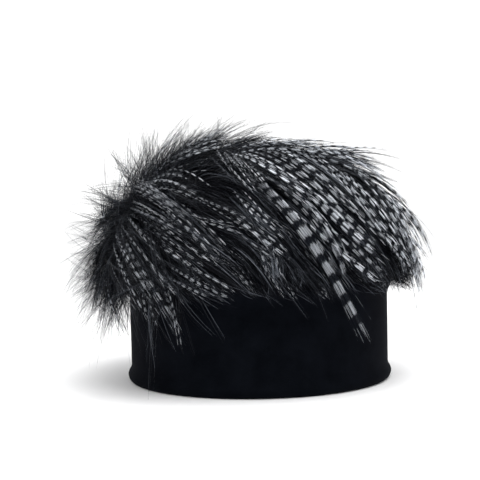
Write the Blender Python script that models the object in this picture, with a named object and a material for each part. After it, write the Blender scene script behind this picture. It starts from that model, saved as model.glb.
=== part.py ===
"""Faux fur beanie: a doubled stretch band, a dome of backing cloth sewn to its top edge, and the long
combed pile that stands on the dome.

The hat stands on its hem. +X is the front of the hat, +Z is up, and the origin is on the ground under
the middle of the head opening. Units are metres.
"""

import math
from collections import namedtuple

import bmesh
import bpy
from mathutils import Vector

MM = 0.001

# Clearance between neighbouring pieces.
GAP = 0.3 * MM

# Band: one strip of stretch velour, folded in two along the hem.
BAND_LENGTH = 184 * MM  # outside, front to back, at the waist
BAND_BREADTH = 157 * MM  # outside, side to side, at the waist
BAND_HEIGHT = 71.5 * MM
BAND_WALL = 3.6 * MM  # both layers
HEM_HEIGHT = 11 * MM  # the part of the band that the fold fills out
HEM_BULGE = 2.4 * MM
HEM_FOOT = 1.6 * MM  # width of the flat strip that touches the ground
SEAM_FLARE = 4 * MM  # how far the top edge leans out to meet the crown
SEAM_FLARE_HEIGHT = 13 * MM

# Crown: the knitted backing of the fur, sewn into a dome.
CROWN_HEIGHT = 80 * MM  # above the seam, outside
CROWN_WALL = 2 * MM
CROWN_FULLNESS = 2.3  # 2 is an ellipsoid, more is squarer at the shoulder

# Pile: a dense short layer, and long locks that are combed out of it.
UNDERFUR_DEPTH = 13 * MM
UNDERFUR_EDGE = 3.5 * MM  # its depth at the seam
PILE_DEPTH = 22 * MM  # how far a lock's tip usually stands off the crown
LOCK_WIDTH = 17 * MM  # across a usual lock, where it is widest
LOCK_THICKNESS = 9 * MM
ROOT_DEPTH = 6 * MM  # how far out of the crown a lock's root starts

# Facets.
AROUND_STEPS = 44
UP_STEPS = 7
WAIST_STEPS = 6
HEM_STEPS = 4
LOCK_SIDES = 5

SEAM_LEVEL = BAND_HEIGHT + GAP
CROWN_LENGTH = BAND_LENGTH + 2 * SEAM_FLARE
CROWN_BREADTH = BAND_BREADTH + 2 * SEAM_FLARE

# The comb. A row is one lock, from its root to its tip. Both are directions from the middle of the seam,
# in degrees: around is 0 at the front, -90 at the near side and 180 at the back, and up is 0 at the seam,
# 90 at the top and under 0 over the band. lift is the tip's stand-off as a share of PILE_DEPTH, width is
# a share of LOCK_WIDTH, and bow bends the lock's middle sideways, in degrees.
Lock = namedtuple("Lock", "root_around root_up tip_around tip_up lift width bow")

# The front half of the near side, combed forward and down, in overlapping rows from the top of the
# crown to the seam.
FRONT_LOCKS = (
    Lock(-156, 80, -34, 54, 1.00, 1.0, -4),
    Lock(-16, 69, -10, 38, 1.25, 0.9, 4),
    Lock(-19, 74, -24, 29, 1.20, 0.9, -8),
    Lock(-35, 80, -46, 17, 1.15, 1.1, -8),
    Lock(-37, 55, -31, 4, 1.10, 1.1, -8),
    Lock(-7, 51, -27, 6, 1.20, 1.1, -10),
    Lock(-6, 34, -24, -7, 1.15, 1.0, -10),
    Lock(-127, 83, -53, 20, 1.05, 1.1, -8),
    Lock(-63, 49, -37, 5, 1.00, 1.1, -6),
    Lock(-130, 76, -58, 22, 0.95, 1.1, -6),
    Lock(-75, 43, -42, 3, 0.90, 1.1, -4),
    Lock(-104, 55, -47, -19, 0.50, 0.8, -4),
    Lock(-84, 48, -57, 1, 0.75, 0.9, 0),
    Lock(-106, 40, -69, 4, 0.75, 1.0, -2),
    Lock(-111, 33, -75, 6, 0.65, 0.9, 0),
    Lock(-56, 21, -38, -1, 0.85, 1.0, -3),
    Lock(-31, 25, -13, -5, 0.95, 1.1, 0),
    Lock(-89, 19, -85, 1, 0.55, 0.8, 0),
)

# The back half of the near side, which fans out of a whorl low at the back.
BACK_LOCKS = (
    Lock(-175, 36, -122, 57, 1.05, 1.0, 2),
    Lock(-175, 45, -107, 64, 1.05, 1.0, 0),
    Lock(-175, 36, -109, 51, 0.95, 1.0, 5),
    Lock(-175, 35, -111, 33, 0.85, 1.0, 4),
    Lock(-175, 32, -116, 20, 0.75, 0.9, 1),
    Lock(-158, 36, -97, 2, 0.75, 1.0, 2),
    Lock(-158, 28, -104, 6, 0.70, 1.0, 1),
    Lock(-175, 27, -114, -5, 0.80, 0.8, 6),
    Lock(-175, 22, -117, -18, 0.80, 0.9, 8),
    Lock(-175, 19, -126, -12, 0.80, 0.9, 7),
    Lock(-175, 13, -131, -13, 0.85, 0.9, 5),
    Lock(-174, 7, -139, -18, 0.95, 1.0, 3),
    Lock(-129, 36, -95, 25, 0.60, 0.9, -1),
    Lock(-123, 22, -93, 7, 0.60, 1.0, 1),
    Lock(-132, 10, -100, -5, 0.60, 1.0, 0),
    Lock(-176, 9, -153, -15, 1.05, 1.1, 0),
    Lock(-172, 22, -165, -6, 1.25, 1.1, 0),
    Lock(-170, 40, -158, 66, 1.45, 0.8, 0),
    Lock(-160, 54, -134, 78, 1.25, 0.8, 0),
)

# The locks of the middle, from the whorl's spikes over the top to the fringe at the front.
MIDDLE_LOCKS = (
    Lock(176, 14, 180, -13, 1.20, 1.2, 0),
    Lock(171, 22, 177, -2, 1.30, 1.0, 0),
    Lock(-174, 34, 178, 10, 1.30, 1.0, 0),
    Lock(168, 38, 175, 16, 1.35, 0.9, 0),
    Lock(-170, 28, -177, 54, 1.35, 0.8, 0),
    Lock(-175, 14, 178, 37, 1.35, 0.9, 0),
    Lock(180, 52, 179, 78, 1.30, 1.0, 0),
    Lock(176, 72, 3, 78, 1.10, 1.1, 0),
    Lock(92, 86, 0, 55, 1.00, 1.2, 0),
    Lock(-8, 70, -1, 35, 1.10, 1.2, 0),
    Lock(6, 54, 1, 16, 1.15, 1.2, 0),
    Lock(-5, 38, -2, 3, 1.30, 1.2, 0),
    Lock(7, 24, 4, -8, 1.10, 1.2, 0),
)

# How much further round the tips of the far side are, in degrees.
FAR_SIDE_TURN = 2

# A lock's cross-section along its length: a share of the way, and the section there as a share of the
# lock's full size.
Section = namedtuple("Section", "along size")
LOCK_SECTIONS = (
    Section(0.0, 0.45),
    Section(0.2, 0.80),
    Section(0.45, 1.00),
    Section(0.7, 0.85),
    Section(0.88, 0.50),
    Section(1.0, 0.14),
)

PILE_COLOUR = (0.05, 0.053, 0.062, 1)
BACKING_COLOUR = (0.02, 0.021, 0.025, 1)
BAND_COLOUR = (0.006, 0.0065, 0.009, 1)


def clear_scene():
    for obj in list(bpy.data.objects):
        bpy.data.objects.remove(obj, do_unlink=True)


def material(name, colour, roughness):
    made = bpy.data.materials.new(name)
    made.use_nodes = True
    shader = made.node_tree.nodes["Principled BSDF"]
    shader.inputs["Base Color"].default_value = colour
    shader.inputs["Roughness"].default_value = roughness
    shader.inputs["Metallic"].default_value = 0
    return made


def add_object(name, mesh_data, surface):
    obj = bpy.data.objects.new(name, mesh_data)
    bpy.context.scene.collection.objects.link(obj)
    if surface:
        mesh_data.materials.append(surface)
    mesh_data.shade_smooth()
    return obj


def bridge(bm, first, second):
    """Quads between two closed rings of as many corners."""
    for i in range(len(first)):
        j = (i + 1) % len(first)
        bm.faces.new((first[i], first[j], second[j], second[i]))


def smooth_step(share):
    share = min(max(share, 0), 1)
    return share * share * (3 - 2 * share)


def finish_mesh(bm, name):
    bmesh.ops.recalc_face_normals(bm, faces=bm.faces)
    mesh_data = bpy.data.meshes.new(name)
    bm.to_mesh(mesh_data)
    bm.free()
    return mesh_data


def around_angles():
    return [2 * math.pi * i / AROUND_STEPS for i in range(AROUND_STEPS)]


def hem_fill(height):
    """How far the fold pushes each face of the band out, at this height."""
    return HEM_BULGE * (1 - smooth_step(2 * height / HEM_HEIGHT - 1))


def seam_lean(height):
    """How far the whole band leans out towards the seam, at this height."""
    return SEAM_FLARE * smooth_step((height - BAND_HEIGHT) / SEAM_FLARE_HEIGHT + 1)


def band_profile():
    """The band's section as (out, height), where out is measured from the waist's outer face: up the
    outer face from the foot, and down the inner face to the foot again."""
    foot = HEM_FOOT / 2
    fold_reach = BAND_WALL / 2 + HEM_BULGE - foot
    fold = []
    for i in range(HEM_STEPS + 1):
        turn = math.pi / 2 * i / HEM_STEPS
        fold.append((foot + fold_reach * math.sin(turn), HEM_HEIGHT / 2 * (1 - math.cos(turn))))
    wall = []
    for i in range(1, WAIST_STEPS + 1):
        height = HEM_HEIGHT / 2 + (BAND_HEIGHT - HEM_HEIGHT / 2) * smooth_step(i / WAIST_STEPS)
        wall.append((height, seam_lean(height), hem_fill(height)))
    middle = -BAND_WALL / 2
    outer = [(middle + out, height) for out, height in fold]
    outer += [(lean + fill, height) for height, lean, fill in wall]
    inner = [(middle - out, height) for out, height in fold]
    inner += [(lean - fill - BAND_WALL, height) for height, lean, fill in wall]
    return outer + inner[::-1]


def build_band():
    bm = bmesh.new()
    rings = []
    for out, height in band_profile():
        half_length = BAND_LENGTH / 2 + out
        half_breadth = BAND_BREADTH / 2 + out
        rings.append([
            bm.verts.new((half_length * math.cos(angle), half_breadth * math.sin(angle), height))
            for angle in around_angles()
        ])
    for i, ring in enumerate(rings):
        bridge(bm, ring, rings[(i + 1) % len(rings)])
    return add_object("band", finish_mesh(bm, "band"), material("velour", BAND_COLOUR, 0.9))


def crown_reach(direction):
    """How far the crown's outer face is from the middle of the seam, this way. Below the seam it goes
    on as an upright wall, which the band stays inside."""
    level = math.hypot(direction.x / (CROWN_LENGTH / 2), direction.y / (CROWN_BREADTH / 2))
    rise = max(direction.z, 0) / CROWN_HEIGHT
    return (level**CROWN_FULLNESS + rise**CROWN_FULLNESS) ** (-1 / CROWN_FULLNESS)


def direction_of(around, up):
    """The unit direction for two angles in degrees."""
    around, up = math.radians(around), math.radians(up)
    return Vector((math.cos(up) * math.cos(around), math.cos(up) * math.sin(around), math.sin(up)))


def over_crown(direction, out):
    """The point that stands this far out of the crown's outer face."""
    return Vector((0, 0, SEAM_LEVEL)) + direction * (crown_reach(direction) + out)


def dome_shell(name, outer_at, inner_at):
    """A closed dome, open below. outer_at and inner_at give how far each face stands out of the crown's
    outer face, for a share of the way from the seam to the top."""
    bm = bmesh.new()

    def face_rings(out_at):
        rings = []
        for step in range(UP_STEPS):
            share = step / UP_STEPS
            rings.append([
                bm.verts.new(over_crown(direction_of(math.degrees(angle), 90 * share), out_at(share)))
                for angle in around_angles()
            ])
        top = bm.verts.new(over_crown(Vector((0, 0, 1)), out_at(1)))
        for lower, upper in zip(rings, rings[1:]):
            bridge(bm, lower, upper)
        last = rings[-1]
        for i in range(AROUND_STEPS):
            bm.faces.new((last[i], last[(i + 1) % AROUND_STEPS], top))
        return rings[0]

    outer_rim = face_rings(outer_at)
    inner_rim = face_rings(inner_at)
    bridge(bm, inner_rim, outer_rim)
    return finish_mesh(bm, name)


def build_crown():
    mesh_data = dome_shell("crown", lambda share: 0, lambda share: -CROWN_WALL)
    return add_object("crown", mesh_data, material("fur backing", BACKING_COLOUR, 0.85))


def turned_between(start, end, share, bow):
    """A direction on the arc from start to end. bow bends its middle sideways, in degrees."""
    angle = start.angle(end)
    swung = (start * math.sin((1 - share) * angle) + end * math.sin(share * angle)) / math.sin(angle)
    aside = start.cross(end).normalized()
    return (swung + aside * math.tan(math.radians(bow)) * math.sin(math.pi * share)).normalized()


def lock_centre(lock, share):
    """The point on the lock's middle line, and the direction that it stands out in."""
    root = direction_of(lock.root_around, lock.root_up)
    tip = direction_of(lock.tip_around, lock.tip_up)
    outward = turned_between(root, tip, share, lock.bow)
    out = ROOT_DEPTH + (lock.lift * PILE_DEPTH - ROOT_DEPTH) * share**0.75
    return over_crown(outward, out), outward


def add_lock(bm, lock):
    """One tapered, flattened tube along a lock, closed at both ends."""
    rings = []
    for section in LOCK_SECTIONS:
        centre, outward = lock_centre(lock, section.along)
        before, _ = lock_centre(lock, max(section.along - 0.05, 0))
        after, _ = lock_centre(lock, min(section.along + 0.05, 1))
        along = (after - before).normalized()
        across = along.cross(outward).normalized()
        lifted = across.cross(along)
        half_width = lock.width * LOCK_WIDTH / 2 * section.size
        half_thickness = LOCK_THICKNESS / 2 * section.size
        rings.append([
            bm.verts.new(
                centre
                + across * half_width * math.cos(2 * math.pi * i / LOCK_SIDES)
                + lifted * half_thickness * math.sin(2 * math.pi * i / LOCK_SIDES)
            )
            for i in range(LOCK_SIDES)
        ])
    for first, second in zip(rings, rings[1:]):
        bridge(bm, first, second)
    bm.faces.new(rings[0])
    bm.faces.new(rings[-1])


def far_side(lock):
    """The same lock on the far side of the hat, where the comb went a little further round."""
    return lock._replace(
        root_around=-lock.root_around,
        tip_around=FAR_SIDE_TURN - lock.tip_around,
        bow=-lock.bow,
    )


def build_pile():
    near = FRONT_LOCKS + BACK_LOCKS
    far = tuple(far_side(lock) for lock in near)
    bm = bmesh.new()
    for lock in near + far + MIDDLE_LOCKS:
        add_lock(bm, lock)
    locks = add_object("locks", finish_mesh(bm, "locks"), None)
    locks.hide_render = True
    locks.display_type = "WIRE"

    def underfur_at(share):
        return UNDERFUR_EDGE + (UNDERFUR_DEPTH - UNDERFUR_EDGE) * smooth_step(4 * share)

    pile = add_object(
        "fur_pile",
        dome_shell("fur_pile", underfur_at, lambda share: GAP),
        material("fur", PILE_COLOUR, 0.55),
    )
    fuse = pile.modifiers.new("fuse the locks", "BOOLEAN")
    fuse.operation = "UNION"
    fuse.solver = "EXACT"
    fuse.object = locks
    fuse.use_self = True
    return pile


def main():
    clear_scene()
    build_band()
    build_crown()
    build_pile()


main()
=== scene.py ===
# %% [markdown]
# # A faux fur beanie
#
# The hat has three pieces of cloth work: a smooth stretch band, a sewn crown, and the long pile that
# covers the crown. The part's solids carry the sizes. This scene dresses them: the cloth gets its folds
# and its nap, and the pile becomes combed hair with dyed bars.

# %% Load the part
import math
from collections import namedtuple

import bpy
import numpy as np
from mathutils import Matrix, Vector


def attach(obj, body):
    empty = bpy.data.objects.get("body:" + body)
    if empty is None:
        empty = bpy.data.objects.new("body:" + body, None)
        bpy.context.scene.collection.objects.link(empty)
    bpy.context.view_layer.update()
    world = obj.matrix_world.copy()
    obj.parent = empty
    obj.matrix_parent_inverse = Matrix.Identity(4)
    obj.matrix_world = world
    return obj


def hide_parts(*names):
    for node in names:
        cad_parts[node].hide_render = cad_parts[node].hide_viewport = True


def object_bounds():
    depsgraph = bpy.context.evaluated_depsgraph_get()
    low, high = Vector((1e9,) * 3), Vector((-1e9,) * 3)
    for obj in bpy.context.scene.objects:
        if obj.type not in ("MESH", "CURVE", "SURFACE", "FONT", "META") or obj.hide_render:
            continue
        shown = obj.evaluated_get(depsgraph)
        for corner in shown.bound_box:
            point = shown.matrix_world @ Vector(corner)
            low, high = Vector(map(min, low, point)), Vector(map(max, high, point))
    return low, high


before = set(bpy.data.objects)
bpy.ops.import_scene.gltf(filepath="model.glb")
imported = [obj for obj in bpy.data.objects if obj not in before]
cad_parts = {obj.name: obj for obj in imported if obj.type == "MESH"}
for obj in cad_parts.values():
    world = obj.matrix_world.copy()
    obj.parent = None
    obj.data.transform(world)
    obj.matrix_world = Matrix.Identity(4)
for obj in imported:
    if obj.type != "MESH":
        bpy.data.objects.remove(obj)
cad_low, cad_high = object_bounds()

MM = 0.001
print("solids:", sorted(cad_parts))
print("size, mm:", [round((high - low) / MM, 1) for low, high in zip(cad_low, cad_high)])

# %% [markdown]
# ## The camera and the light
#
# The photograph looks along the hat's side from about hand height, with a lens that is a little long and
# tipped down by a few degrees. The view was fitted to the hat's outline, so that a hair can be put where
# the photograph has it. The background is burnt out to white. A white world gives that and lights the hat
# evenly. One large softbox above the hat, a little to the front, adds the direction that shapes black
# cloth.

# %% Camera, floor and light
LENS_MM = 67.8
CAMERA_PLACE = Vector((-0.0122, -0.650, 0.127))
CAMERA_DOWN = math.radians(2.5)
CAMERA_ROLL = math.radians(1.2)
WORLD_STRENGTH = 1.21
SOFTBOX_PLACE = (0.16, -0.3, 1.2)
SOFTBOX_TARGET = (0, 0, 0.1)
SOFTBOX_SIZE = 0.9
SOFTBOX_WATTS = 14


def make_camera():
    camera = bpy.data.objects.new("camera", bpy.data.cameras.new("camera"))
    camera.data.lens = LENS_MM
    camera.data.sensor_width = 36
    turn = Matrix.Rotation(math.pi / 2 - CAMERA_DOWN, 4, "X") @ Matrix.Rotation(-CAMERA_ROLL, 4, "Z")
    camera.matrix_world = Matrix.Translation(CAMERA_PLACE) @ turn
    bpy.context.scene.collection.objects.link(camera)
    bpy.context.scene.camera = camera
    return camera


def softbox(name, place, target, size, watts):
    lamp = bpy.data.objects.new(name, bpy.data.lights.new(name, "AREA"))
    lamp.data.shape = "SQUARE"
    lamp.data.size = size
    lamp.data.energy = watts
    lamp.location = place
    lamp.rotation_euler = (Vector(target) - Vector(place)).to_track_quat("-Z", "Y").to_euler()
    bpy.context.scene.collection.objects.link(lamp)
    return lamp


def plain_material(name, colour, roughness, specular=0.5):
    made = bpy.data.materials.new(name)
    made.use_nodes = True
    shader = made.node_tree.nodes["Principled BSDF"]
    shader.inputs["Base Color"].default_value = (*colour, 1)
    shader.inputs["Roughness"].default_value = roughness
    shader.inputs["Specular IOR Level"].default_value = specular
    return made


def make_floor():
    half = 6.0
    corners = [(-half, -half, 0), (half, -half, 0), (half, half, 0), (-half, half, 0)]
    data = bpy.data.meshes.new("floor")
    data.from_pydata(corners, [], [(0, 1, 2, 3)])
    floor = bpy.data.objects.new("floor", data)
    data.materials.append(plain_material("white sweep", (0.83, 0.83, 0.835), 0.8, 0.1))
    bpy.context.scene.collection.objects.link(floor)
    return floor


world = bpy.data.worlds.new("white studio")
world.use_nodes = True
world.node_tree.nodes["Background"].inputs["Color"].default_value = (1, 1, 1, 1)
world.node_tree.nodes["Background"].inputs["Strength"].default_value = WORLD_STRENGTH
bpy.context.scene.world = world
bpy.context.scene.view_settings.view_transform = "Standard"
make_camera()
make_floor()
softbox("softbox", SOFTBOX_PLACE, SOFTBOX_TARGET, SOFTBOX_SIZE, SOFTBOX_WATTS)
print("camera lens:", LENS_MM, "mm, at", [round(x, 3) for x in CAMERA_PLACE])

# %% [markdown]
# ## The sizes
#
# These are the part's own sizes. The crown is a dome with full shoulders. One short formula says how far
# it reaches in each direction from the middle of the seam. Every piece below is worked out from these
# values, so the dressed hat stays on the solids.

# %% Sizes
BAND_LENGTH = 184 * MM
BAND_BREADTH = 157 * MM
BAND_HEIGHT = 71.5 * MM
BAND_WALL = 3.6 * MM
HEM_HEIGHT = 11 * MM
HEM_BULGE = 2.4 * MM
SEAM_FLARE = 4 * MM
SEAM_FLARE_HEIGHT = 13 * MM
CROWN_HEIGHT = 80 * MM
CROWN_WALL = 2 * MM
CROWN_FULLNESS = 2.3
PILE_DEPTH = 22 * MM
LOCK_WIDTH = 17 * MM
LOCK_THICKNESS = 9 * MM
ROOT_DEPTH = 6 * MM
SEAM_GAP = 0.3 * MM
SEAM_LEVEL = BAND_HEIGHT + SEAM_GAP
CROWN_LENGTH = BAND_LENGTH + 2 * SEAM_FLARE
CROWN_BREADTH = BAND_BREADTH + 2 * SEAM_FLARE
SEAM_MIDDLE = np.array([0, 0, SEAM_LEVEL])


def smooth_step(share):
    share = np.clip(share, 0, 1)
    return share * share * (3 - 2 * share)


def unit(vectors):
    return vectors / np.maximum(np.linalg.norm(vectors, axis=-1, keepdims=True), 1e-12)


def directions(around, up):
    """Unit vectors for angles in degrees: around is 0 at the front and -90 at the near side."""
    around, up = np.radians(around), np.radians(up)
    return np.stack([np.cos(up) * np.cos(around), np.cos(up) * np.sin(around), np.sin(up)], -1)


def crown_reach(ways):
    """How far the crown's outer face is from the middle of the seam, for each unit vector."""
    level = np.hypot(ways[..., 0] / (CROWN_LENGTH / 2), ways[..., 1] / (CROWN_BREADTH / 2))
    rise = np.maximum(ways[..., 2], 0) / CROWN_HEIGHT
    return (level**CROWN_FULLNESS + rise**CROWN_FULLNESS) ** (-1 / CROWN_FULLNESS)


def over_crown(ways, out):
    """The points that stand this far out of the crown's outer face."""
    return SEAM_MIDDLE + ways * (crown_reach(ways) + out)[..., None]


top = over_crown(directions(np.array([0.0]), np.array([90.0])), np.array([0.0]))[0]
print("crown top:", round(top[2] / MM, 1), "mm above the ground")

# %% [markdown]
# ## Meshes from grids
#
# Cloth that goes round a head is a grid: rings of points, joined to the next ring. It could be sculpted
# or simulated, but a grid follows the solids' own formulas exactly. numpy works out the points all at
# once, and Blender's foreach_set takes them in one call, which matters with a million triangles.

# %% Helpers for meshes
ANY_PHASE = 6.28
HEIGHT_TURNS = 60


def quads_of(rings, columns, closed):
    """The corners of the quads between neighbouring rings. closed joins the last column to the first."""
    across = columns if closed else columns - 1
    ring, column = np.meshgrid(np.arange(rings - 1), np.arange(across), indexing="ij")
    beside = (column + 1) % columns
    here, above = ring * columns, (ring + 1) * columns
    return np.stack([here + column, here + beside, above + beside, above + column], -1).reshape(-1, 4)


def mesh_object(name, points, quads, material, uv=None):
    """A smooth mesh of quads that rides on the hat's one body. uv has a row for each point."""
    data = bpy.data.meshes.new(name)
    data.vertices.add(len(points))
    data.vertices.foreach_set("co", np.ascontiguousarray(points, np.float32).ravel())
    data.loops.add(quads.size)
    data.loops.foreach_set("vertex_index", np.ascontiguousarray(quads, np.int32).ravel())
    data.polygons.add(len(quads))
    data.polygons.foreach_set("loop_start", np.arange(0, quads.size, 4, dtype=np.int32))
    if uv is not None:
        layer = data.uv_layers.new(name="OFBake")
        layer.data.foreach_set("uv", np.ascontiguousarray(uv[quads.ravel()], np.float32).ravel())
    data.update(calc_edges=True)
    data.validate()
    data.shade_smooth()
    data.materials.append(material)
    made = bpy.data.objects.new(name, data)
    bpy.context.scene.collection.objects.link(made)
    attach(made, "root")
    return made


def waves(angle, height, seed, terms, longest):
    """A sum of slow waves round the hat, between about -1 and 1, which differ at each height."""
    draw = np.random.default_rng(seed)
    total = np.zeros(np.broadcast(angle, height).shape)
    for _ in range(terms):
        count = draw.integers(2, longest)
        phase = draw.uniform(0, ANY_PHASE)
        total += np.sin(count * angle + phase + height * draw.uniform(-HEIGHT_TURNS, HEIGHT_TURNS)) / terms
    return total


print("a ring of 4 columns closes with", len(quads_of(2, 4, True)), "quads")

# %% [markdown]
# ## Velour
#
# Stretch velour is knitted with a short upright pile. It swallows light seen straight on and catches it at
# a grazing angle, which is what the sheen lobe does. The pile is under a millimetre high, so it needs no
# hairs of its own: a bump is the nap's fine grain, and slow noise in the colour shows where it is brushed.

# %% The band's material
def node(tree, kind, **settings):
    """A shader node. Each setting is the value of an input, or else a property of the node."""
    made = tree.nodes.new(kind)
    for key, value in settings.items():
        if key in made.inputs:
            made.inputs[key].default_value = value
        else:
            setattr(made, key, value)
    return made


def calc(tree, operation, first, second=0.0, third=0.0):
    """A Math node. Each value is a number or another node's output."""
    made = tree.nodes.new("ShaderNodeMath")
    made.operation = operation
    for socket, value in zip(made.inputs, (first, second, third)):
        if isinstance(value, (int, float)):
            socket.default_value = value
        else:
            tree.links.new(value, socket)
    return made.outputs[0]


def pattern_on(material, kind, **settings):
    """A texture laid over the object, in its own coordinates."""
    tree = material.node_tree
    place = node(tree, "ShaderNodeTexCoord")
    texture = node(tree, kind, **settings)
    tree.links.new(place.outputs["Object"], texture.inputs["Vector"])
    return texture.outputs["Fac"]


def two_shades(material, pattern, dark, light, places=(0.0, 1.0)):
    """The colour goes from dark to light with the pattern, between these two places in it."""
    tree = material.node_tree
    shade = node(tree, "ShaderNodeValToRGB")
    for element, place, colour in zip(shade.color_ramp.elements, places, (dark, light)):
        element.position = place
        element.color = (*colour, 1)
    tree.links.new(pattern, shade.inputs["Fac"])
    tree.links.new(shade.outputs["Color"], tree.nodes["Principled BSDF"].inputs["Base Color"])


def fine_relief(material, pattern, strength, depth):
    """The pattern as a bump of this depth."""
    tree = material.node_tree
    bump = node(tree, "ShaderNodeBump", Strength=strength, Distance=depth)
    tree.links.new(pattern, bump.inputs["Height"])
    tree.links.new(bump.outputs["Normal"], tree.nodes["Principled BSDF"].inputs["Normal"])


def velour_material():
    made = plain_material("black velour", (0.002, 0.0025, 0.004), 0.85, 0.02)
    shader = made.node_tree.nodes["Principled BSDF"]
    shader.inputs["Sheen Weight"].default_value = 0.014
    shader.inputs["Sheen Roughness"].default_value = 0.4
    shader.inputs["Sheen Tint"].default_value = (0.75, 0.8, 1, 1)
    brushed = pattern_on(made, "ShaderNodeTexNoise", Scale=55.0, Detail=5.0, Roughness=0.6)
    two_shades(made, brushed, (0.0013, 0.0017, 0.0028), (0.0028, 0.0035, 0.0054), (0.35, 0.7))
    nap = pattern_on(made, "ShaderNodeTexNoise", Scale=1800.0, Detail=2.0)
    fine_relief(made, nap, 0.35, 0.4 * MM)
    return made


velour = velour_material()
print("velour has", len(velour.node_tree.nodes), "nodes")

# %% [markdown]
# ## The band
#
# The band is one strip of cloth, 150 mm wide, sewn into a ring and folded in two. So it is made as one
# surface: down the outside, round the fold at the hem, and up the inside to the seam again. The fold keeps
# some air in it, so the hem is fuller than the rest. A simulation could drape it, but the stretched cloth
# has no folds, only slack of half a millimetre, and a few slow waves give that.

# %% Band
BAND_COLUMNS = 260
BAND_ROWS = 34
FOLD_ROWS = 8
GROUND_GAP = 0.05 * MM
SLACK_DEPTH = 0.55 * MM
FINE_SLACK_DEPTH = 0.25 * MM
RUCK_DEPTH = 0.5 * MM
RUCK_HEIGHT = 9 * MM
HEM_CALM = 14 * MM
SEAM_CALM = 20 * MM


def hem_fill(height):
    """How much the air in the fold pushes the band out at this height."""
    return HEM_BULGE * (1 - smooth_step(2 * height / HEM_HEIGHT - 1))


def seam_lean(height):
    """How far the top edge leans out to meet the fuller crown."""
    return SEAM_FLARE * smooth_step((height - BAND_HEIGHT) / SEAM_FLARE_HEIGHT + 1)


def cloth_waves(angle, level):
    """Slow slack in the middle of the band, and fine rucks that the stitches pull at the seam."""
    free = smooth_step(level / HEM_CALM) * smooth_step((BAND_HEIGHT - level) / SEAM_CALM)
    slack = SLACK_DEPTH * waves(angle, level, 3, 6, 7) * free
    fine_slack = FINE_SLACK_DEPTH * waves(angle, level, 4, 8, 17) * free
    near_seam = smooth_step(1 - (BAND_HEIGHT - level) / RUCK_HEIGHT)
    return slack + fine_slack + RUCK_DEPTH * waves(angle, 0 * level, 5, 7, 40) * near_seam


def make_band():
    heights = np.linspace(BAND_HEIGHT, HEM_HEIGHT / 2, BAND_ROWS)
    turn = np.linspace(math.pi / 2, 0, FOLD_ROWS)[1:]
    reach = BAND_WALL / 2 + HEM_BULGE
    fold_out = reach * np.sin(turn) ** 0.9
    fold_height = HEM_HEIGHT / 2 * (1 - np.cos(turn)) + GROUND_GAP
    middle = -BAND_WALL / 2
    out = np.concatenate([
        seam_lean(heights) + hem_fill(heights),
        middle + fold_out,
        middle - fold_out[-2::-1],
        (seam_lean(heights) - hem_fill(heights) - BAND_WALL)[::-1],
    ])
    level = np.concatenate([heights, fold_height, fold_height[-2::-1], heights[::-1]])
    angle = np.linspace(0, 2 * math.pi, BAND_COLUMNS, endpoint=False)[None, :]
    level = level[:, None]
    out = out[:, None] + cloth_waves(angle, level)
    along = (BAND_LENGTH / 2 + out) * np.cos(angle)
    across = (BAND_BREADTH / 2 + out) * np.sin(angle)
    points = np.stack([along, across, np.broadcast_to(level, out.shape)], -1)
    quads = quads_of(len(points), BAND_COLUMNS, True)[:, ::-1]
    band = mesh_object("band_cloth", points.reshape(-1, 3), quads, velour)
    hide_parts("band")
    return band


band = make_band()
print("band:", len(band.data.polygons), "quads")

# %% [markdown]
# ## The crown's cloth
#
# The pile is knitted into a backing. From outside the pile hides it, but from below it is the ceiling of
# the hat: a matt black knit, eased into the band with small gathers. A single sheet would show its hidden
# side through the gaps of the fur, so it is a closed wall with an inner and an outer face.

# %% Crown
CROWN_COLUMNS = 180
CROWN_ROWS = 28
GATHER_DEPTH = 0.5 * MM
SEWN_IN = 0.1 * MM
EDGE_DEGREES = 14  # how far up from the seam the cloth is still gathered


def knit_material():
    made = plain_material("black knit", (0.012, 0.0125, 0.015), 0.9, 0.1)
    made.node_tree.nodes["Principled BSDF"].inputs["Sheen Weight"].default_value = 0.03
    wales = pattern_on(made, "ShaderNodeTexWave", Scale=160.0, Distortion=1.2, Detail=2.0)
    two_shades(made, wales, (0.008, 0.0083, 0.01), (0.014, 0.0145, 0.0175))
    fine_relief(made, wales, 0.3, 0.5 * MM)
    return made


def dome_points(out_at):
    """Rings from the seam to the top. out_at gives the stand-off for a grid of around and up."""
    around = np.linspace(0, 360, CROWN_COLUMNS, endpoint=False)[None, :]
    up = np.linspace(0, 89.9, CROWN_ROWS)[:, None]
    around, up = np.broadcast_arrays(around, up)
    return over_crown(directions(around, up), out_at(around, up)).reshape(-1, 3)


def dome_object(name, outer_at, inner_at, material):
    """A closed dome wall, open below, whose two small holes at the top are one tube's two ends."""
    outer = dome_points(outer_at)
    inner = dome_points(inner_at)
    count = len(outer)
    quads = quads_of(CROWN_ROWS, CROWN_COLUMNS, True)
    column = np.arange(CROWN_COLUMNS)
    beside = (column + 1) % CROWN_COLUMNS
    last = (CROWN_ROWS - 1) * CROWN_COLUMNS
    rim = np.stack([column + count, beside + count, beside, column], -1)
    top_rim = np.stack([last + column, last + beside, last + beside + count, last + column + count], -1)
    faces = np.concatenate([quads, quads[:, ::-1] + count, rim, top_rim])
    return mesh_object(name, np.concatenate([outer, inner]), faces, material)


def gathers(around, up):
    edge = smooth_step(1 - up / EDGE_DEGREES)
    return GATHER_DEPTH * edge * waves(np.radians(around), 0 * up, 11, 9, 60)


crown = dome_object(
    "crown_cloth",
    lambda around, up: gathers(around, up) * 0.5 - SEWN_IN,
    lambda around, up: gathers(around, up) - CROWN_WALL,
    knit_material(),
)
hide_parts("crown")
print("crown:", len(crown.data.polygons), "quads")

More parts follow.
